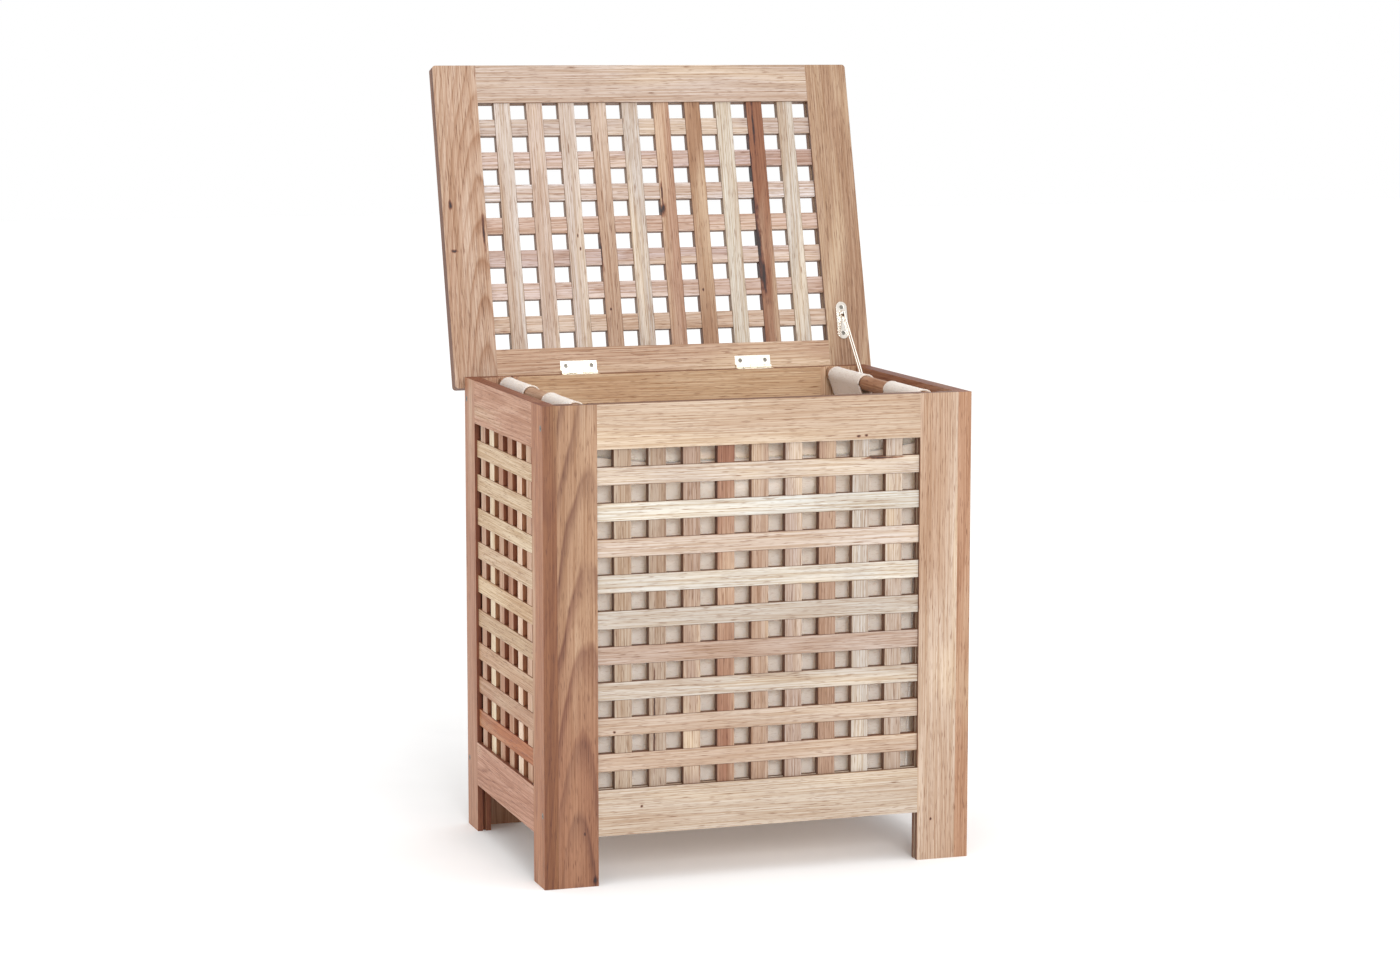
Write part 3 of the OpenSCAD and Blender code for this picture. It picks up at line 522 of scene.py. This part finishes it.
def canvas_cloth(name, shade, light):
    """Unbleached cotton canvas, plain woven: matt, with slubs in the yarn."""
    made, tree, shader = new_material(name)
    source = add(tree, "ShaderNodeTexCoord").outputs["Object"]
    drift = noise_at(tree, source, (9.0, 9.0, 9.0), 3.0).outputs["Fac"]
    colour = add(tree, "ShaderNodeMix", {0: drift, 6: linear(shade), 7: linear(light)},
                 data_type="RGBA").outputs[2]
    # Yarns lie 0.6 mm apart; they are drawn 1.8 mm apart so that they show
    step = math.tau / (1.8 * MM)
    split = add(tree, "ShaderNodeSeparateXYZ", {0: source})
    level = math_of(tree, "SINE", math_of(tree, "MULTIPLY", split.outputs["Z"], step))
    round_sum = math_of(tree, "ADD", split.outputs["X"], split.outputs["Y"])
    upright = math_of(tree, "SINE", math_of(tree, "MULTIPLY", round_sum, step))
    weave = math_of(tree, "MULTIPLY", level, upright)
    slub = noise_at(tree, source, (160.0, 160.0, 700.0), 3.0).outputs["Fac"]
    colour = stained(tree, colour, linear("#E6D6C8"), levels(tree, weave, (0.0, 0.5), (0.6, 0.0)))
    colour = stained(tree, colour, linear("#DFCDBE"), levels(tree, slub, (0.55, 0.0), (0.75, 0.6)))
    tree.links.new(colour, shader.inputs["Base Color"])
    height = math_of(tree, "ADD", weave, slub)
    bump = add(tree, "ShaderNodeBump", {"Strength": 0.4, "Distance": 0.25 * MM, "Height": height})
    tree.links.new(bump.outputs["Normal"], shader.inputs["Normal"])
    shader.inputs["Roughness"].default_value = 0.9
    shader.inputs["Specular IOR Level"].default_value = 0.25
    shader.inputs["Sheen Weight"].default_value = 0.3
    shader.inputs["Sheen Roughness"].default_value = 0.5
    # Light soaks through the thin cloth
    shader.inputs["Subsurface Weight"].default_value = 1.0
    shader.inputs["Subsurface Radius"].default_value = (1.0, 0.95, 0.85)
    shader.inputs["Subsurface Scale"].default_value = 6 * MM
    return made


def cotton_thread():
    """Twisted cotton sewing thread, a little warmer and shinier than the cloth."""
    made, tree, shader = new_material("cotton_thread")
    source = add(tree, "ShaderNodeTexCoord").outputs["Object"]
    twist = noise_at(tree, source, (900.0, 900.0, 900.0), 1.0).outputs["Fac"]
    colour = stained(tree, linear("#E8DDC6"), linear("#C9B894"), levels(tree, twist, (0.4, 0.0), (0.7, 1.0)))
    tree.links.new(colour, shader.inputs["Base Color"])
    shader.inputs["Roughness"].default_value = 0.6
    return made


canvas = canvas_cloth("cotton_canvas", "#F8E6D8", "#FDF0E4")
# The loops take a darker, browner copy of the canvas: painted shade, for their place in the shade inside the
# chest
selvedge = canvas_cloth("cotton_selvedge", "#DACBC0", "#E2D5CB")
thread = cotton_thread()
left_low, left_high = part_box("bag_left_panel")
right_low, right_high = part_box("bag_right_panel")
wall_x = (right_low.x + right_high.x) / 2
wall_y0 = left_low.y + 1 * MM
wall_y1 = left_high.y - 1 * MM
bag_low_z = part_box("bag_base_panel")[0].z + 1 * MM
bag_top_z = left_high.z
CELL = 11 * MM
COLUMNS_X = round(2 * wall_x / CELL)
COLUMNS_Y = round((wall_y1 - wall_y0) / CELL)
ROWS = round((bag_top_z - bag_low_z) / CELL)
CORNER = 14 * MM
CLOTH = 1.1 * MM
SEAM_OUT = 0.8 * MM
SEAM_RADIUS = 1.7 * MM
loop_low, loop_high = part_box("bag_right_loops")
rod_low, rod_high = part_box("right_rod")
rod_z = (rod_low.z + rod_high.z) / 2
rod_r = (rod_high.z - rod_low.z) / 2
LOOP_SPACE = 82 * MM
mid_y = (wall_y0 + wall_y1) / 2
LOOPS = [(loop_low.y, mid_y - LOOP_SPACE / 2), (mid_y + LOOP_SPACE / 2, loop_high.y)]


def rounded(x, y):
    """Pulls a point of the bag's square plan in at the corners."""
    inner_x = wall_x - CORNER
    inner_y = (wall_y1 - wall_y0) / 2 - CORNER
    dx = abs(x) - inner_x
    dy = abs(y - mid_y) - inner_y
    if dx <= 0 or dy <= 0:
        return x, y
    bow = math.hypot(dx, dy)
    pull = max(dx, dy) / bow
    return (math.copysign(inner_x + dx * pull, x), mid_y + math.copysign(inner_y + dy * pull, y - mid_y))


def bag_plan():
    """The bag's cut pieces as one grid: the base, then rings of wall points from the bottom up."""
    xs = [-wall_x + 2 * wall_x * i / COLUMNS_X for i in range(COLUMNS_X + 1)]
    ys = [wall_y0 + (wall_y1 - wall_y0) * j / COLUMNS_Y for j in range(COLUMNS_Y + 1)]
    points = []
    index = {}
    for j, y in enumerate(ys):
        for i, x in enumerate(xs):
            index[i, j] = len(points)
            points.append(Vector((*rounded(x, y), bag_low_z)))
    faces = [(index[i, j], index[i, j + 1], index[i + 1, j + 1], index[i + 1, j])
             for j in range(COLUMNS_Y) for i in range(COLUMNS_X)]
    rim = ([(i, 0) for i in range(COLUMNS_X)] + [(COLUMNS_X, j) for j in range(COLUMNS_Y)]
           + [(i, COLUMNS_Y) for i in range(COLUMNS_X, 0, -1)] + [(0, j) for j in range(COLUMNS_Y, 0, -1)])
    rings = [[index[spot] for spot in rim]]
    for row in range(1, ROWS + 1):
        z = bag_low_z + (bag_top_z - bag_low_z) * row / ROWS
        ring_row = []
        for spot in rim:
            base = points[index[spot]]
            ring_row.append(len(points))
            points.append(Vector((base.x, base.y, z)))
        rings.append(ring_row)
    for lower, upper in zip(rings, rings[1:]):
        count = len(lower)
        for k in range(count):
            n = (k + 1) % count
            faces.append((lower[k], lower[n], upper[n], upper[k]))
    return points, faces, rings


def held_by_loops(point):
    """Whether a point of the bag's hem is sewn under a loop."""
    if abs(abs(point.x) - wall_x) > 2 * MM or point.z < bag_top_z - 16 * MM:
        return False
    return any(low - 1 * MM <= point.y <= high + 1 * MM for low, high in LOOPS)


def walls_out(x, y):
    """The level outward direction of the wall a point belongs to."""
    if abs(x) > wall_x - 3 * MM:
        return Vector((math.copysign(1, x), 0, 0))
    return Vector((0, math.copysign(1, y - mid_y), 0))


# How long the cloth settles, and how far a point of it may move
HANG_FRAMES = 40
MOST_OUT = 3 * MM
MOST_IN = 12 * MM
MOST_DOWN = 12 * MM
MOST_UP = 4 * MM


def hang(piece, pins):
    """Lets the cloth hang from its pinned points, then keeps the result within its room."""
    rest = [v.co.copy() for v in piece.data.vertices]
    group = piece.vertex_groups.new(name="held")
    group.add(pins, 1.0, "REPLACE")
    cloth = piece.modifiers.new("hang", "CLOTH")
    cloth.settings.vertex_group_mass = "held"
    cloth.settings.quality = 6
    cloth.settings.mass = 0.12
    cloth.settings.tension_stiffness = 60
    cloth.settings.compression_stiffness = 12
    cloth.settings.shear_stiffness = 6
    cloth.settings.bending_stiffness = 1.5
    # Cut 0.4 % larger than the space it fills, so that it hangs slack
    cloth.settings.shrink_min = -0.004
    cloth.collision_settings.use_collision = False
    cloth.point_cache.frame_start = 1
    cloth.point_cache.frame_end = HANG_FRAMES
    scene = bpy.context.scene
    for number in range(1, HANG_FRAMES + 1):
        scene.frame_set(number)
    graph = bpy.context.evaluated_depsgraph_get()
    moved = [v.co.copy() for v in piece.evaluated_get(graph).data.vertices]
    piece.modifiers.remove(cloth)
    piece.vertex_groups.remove(group)
    scene.frame_set(1)
    for vertex, start, end in zip(piece.data.vertices, rest, moved):
        step = end - start
        outward = walls_out(start.x, start.y)
        bulge = step.dot(outward)
        # The free hems may fall in the most; the walls below them stay near the lattice
        high = (start.z - bag_low_z) / (bag_top_z - bag_low_z)
        room = MOST_IN * (0.2 + 0.8 * high ** 5)
        allowed = max(-room, min(MOST_OUT, bulge))
        step += outward * (allowed - bulge)
        step.z = max(-MOST_DOWN, min(MOST_UP, step.z))
        vertex.co = start + step
    piece.data.update()


def thickened(piece, thick, offset=0.0, rounds=1):
    """Cloth thickness and smooth folds."""
    sheet = piece.modifiers.new("cloth", "SOLIDIFY")
    sheet.thickness = thick
    sheet.offset = offset
    smooth = piece.modifiers.new("smooth", "SUBSURF")
    smooth.levels = rounds
    smooth.render_levels = rounds


def outward_at(points, ring, k):
    """The level outward direction of a ring of wall points at its k-th point."""
    before = points[ring[k - 1]]
    after = points[ring[(k + 1) % len(ring)]]
    along = (after - before).normalized()
    return Vector((along.y, -along.x, 0)).normalized(), along


points, faces, rings = bag_plan()
bag = mesh_piece("bag_shell", points, faces, canvas)
pins = [k for row in rings[-2:] for k in row if held_by_loops(points[k])]
hang(bag, pins)
points = [v.co.copy() for v in bag.data.vertices]
thickened(bag, CLOTH)
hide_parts("bag_front_panel", "bag_back_panel", "bag_left_panel", "bag_right_panel",
            "bag_base_panel")
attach(bag, "chest")

# The hem: the top edge folded outward and down over itself, 22 mm deep
hem_rings = rings[-3:]
hem_points = []
for ring_row in hem_rings:
    for k in range(len(ring_row)):
        out, along = outward_at(points, ring_row, k)
        hem_points.append(points[ring_row[k]] + out * 0.7 * MM)
count = len(rings[0])
hem_faces = [(r * count + k, r * count + (k + 1) % count, (r + 1) * count + (k + 1) % count,
              (r + 1) * count + k) for r in range(len(hem_rings) - 1) for k in range(count)]
hem = mesh_piece("bag_hem", hem_points, hem_faces, canvas)
thickened(hem, 2.4 * MM)
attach(hem, "chest")


def swept(path, radius, sides=6):
    """Points and faces of a closed-ended tube along a path."""
    points = []
    faces = []
    for i, spot in enumerate(path):
        ahead = path[min(i + 1, len(path) - 1)] - path[max(i - 1, 0)]
        turn = ahead.to_track_quat("Z", "Y").to_matrix()
        for s in range(sides):
            angle = math.tau * s / sides
            points.append(spot + turn @ Vector((math.cos(angle) * radius, math.sin(angle) * radius, 0)))
    for i in range(len(path) - 1):
        for s in range(sides):
            n = (s + 1) % sides
            faces.append((i * sides + s, i * sides + n, (i + 1) * sides + n, (i + 1) * sides + s))
    faces.append(tuple(range(sides))[::-1])
    faces.append(tuple((len(path) - 1) * sides + s for s in range(sides)))
    return points, faces


def joined(name, parts, material, smooth=True):
    """Several sets of points and faces as one piece."""
    points = []
    faces = []
    for part_points, part_faces in parts:
        offset = len(points)
        points += part_points
        faces += [tuple(k + offset for k in face) for face in part_faces]
    return mesh_piece(name, points, faces, material, smooth)


# Corner seams: the walls are sewn to each other and to the base with a bound, raised edge
corner_columns = [0, COLUMNS_X, COLUMNS_X + COLUMNS_Y, 2 * COLUMNS_X + COLUMNS_Y]
seams = []
for column in corner_columns:
    path = []
    for ring_row in rings[:-1]:
        spot = points[ring_row[column]]
        out = Vector((math.copysign(1, spot.x), math.copysign(1, spot.y - mid_y), 0)).normalized()
        path.append(spot + out * SEAM_OUT)
    seams.append(swept(path, SEAM_RADIUS))
base_path = []
for k in list(range(count)) + [0]:
    out, along = outward_at(points, rings[0], k)
    base_path.append(points[rings[0][k]] + out * SEAM_OUT)
seams.append(swept(base_path, SEAM_RADIUS))
seam_piece = joined("bag_seams", seams, canvas)
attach(seam_piece, "chest")


def stitch(spot, along, out, long=3.4 * MM, thick=0.45 * MM):
    """One stitch: a short thread that dips into the cloth at both ends."""
    path = []
    for t in (-0.5, -0.3, 0.0, 0.3, 0.5):
        path.append(spot + along * (long * t) + out * (thick * (0.7 - 4.5 * t * t)))
    return swept(path, thick, 5)


# Hem stitching: thread 0.4 mm thick, drawn 0.9 mm thick, two stitches to a cell of the cloth
stitches = []
seam_ring = rings[-3]
above_ring = rings[-2]
for k in range(count):
    out, along = outward_at(points, seam_ring, k)
    n = (k + 1) % count
    here = points[seam_ring[k]].lerp(points[above_ring[k]], 0.28)
    nxt = points[seam_ring[n]].lerp(points[above_ring[n]], 0.28)
    for part in (0.0, 0.5):
        stitches.append(stitch(here.lerp(nxt, part) + out * 2.0 * MM, (nxt - here).normalized(), out))
hem_stitches = joined("bag_hem_stitches", stitches, thread)
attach(hem_stitches, "chest")


LOOP_STEPS = 12
LOOP_TAIL = 17 * MM
EDGE_TUCK = 0.8 * MM
STITCH_PITCH = 5 * MM


def loop_section(side, pinch, lift):
    """One loop seen along its rod: up one side, over the rod and down the other, pinched under it."""
    rod_x = side * wall_x
    radius = rod_r + 1.3 * MM
    tail_low = bag_top_z - LOOP_TAIL
    section = []
    for z in (tail_low, bag_top_z - 8 * MM, bag_top_z - 1 * MM, bag_top_z + 5 * MM):
        section.append(Vector((rod_x - 2.2 * MM, 0, z)))
    for degrees in range(215, -36, -18):
        a = math.radians(degrees)
        section.append(Vector((rod_x + radius * math.cos(a) * (1 + pinch), 0,
                               rod_z + lift + radius * math.sin(a))))
    for z in (bag_top_z + 5 * MM, bag_top_z - 1 * MM, bag_top_z - 8 * MM, tail_low):
        section.append(Vector((rod_x + 2.2 * MM, 0, z)))
    return section


def loops(side, name, replaced):
    """The two loops of one rod, with their box stitching."""
    shuffle = random.Random(7 + side)
    parts = []
    threads = []
    bindings = []
    for low, high in LOOPS:
        points = []
        for i in range(LOOP_STEPS + 1):
            y = low + (high - low) * i / LOOP_STEPS
            pulled_in = {0: EDGE_TUCK, LOOP_STEPS: -EDGE_TUCK}.get(i, 0.0)
            section = loop_section(side, 0.05 + 0.03 * shuffle.random(), 0.25 * MM * shuffle.random())
            ring_count = len(section)
            for k, spot in enumerate(section):
                slack = math.sin(math.pi * k / (ring_count - 1)) ** 2
                sway = 0.5 * MM * (shuffle.random() - 0.5) * slack
                points.append(spot + Vector((sway, y + pulled_in * slack, 0)))
        # The cloth is rolled over along both edges
        for y in (low + EDGE_TUCK, high - EDGE_TUCK):
            rolled = [spot + Vector((0, y, 0)) for spot in loop_section(side, 0.07, 0.1 * MM)]
            bindings.append(swept(rolled, 1.1 * MM))
        faces = [(i * ring_count + k, i * ring_count + k + 1, (i + 1) * ring_count + k + 1,
                  (i + 1) * ring_count + k) for i in range(LOOP_STEPS) for k in range(ring_count - 1)]
        parts.append((points, faces))
        # Two rows of stitches across each tail, closed at the ends into a box
        for face_side in (-1, 1):
            x = side * wall_x + face_side * 3.0 * MM
            out = Vector((face_side, 0, 0))
            for z in (bag_top_z - 4 * MM, bag_top_z - 14 * MM):
                reach_y = low + 5 * MM
                while reach_y < high - 4 * MM:
                    threads.append(stitch(Vector((x, reach_y, z)), Vector((0, 1, 0)), out))
                    reach_y += STITCH_PITCH
            for y in (low + 3 * MM, high - 3 * MM):
                for z in (bag_top_z - 11.5 * MM, bag_top_z - 6.5 * MM):
                    threads.append(stitch(Vector((x, y, z)), Vector((0, 0, 1)), out))
    piece = joined(name, parts, selvedge)
    thickened(piece, 1.2 * MM)
    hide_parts(replaced)
    sewing = joined(name + "_stitches", threads, thread)
    edging = joined(name + "_edging", bindings, selvedge)
    for made in (piece, sewing, edging):
        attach(made, "chest")


loops(-1, "left_loops", "bag_left_loops")
loops(1, "right_loops", "bag_right_loops")
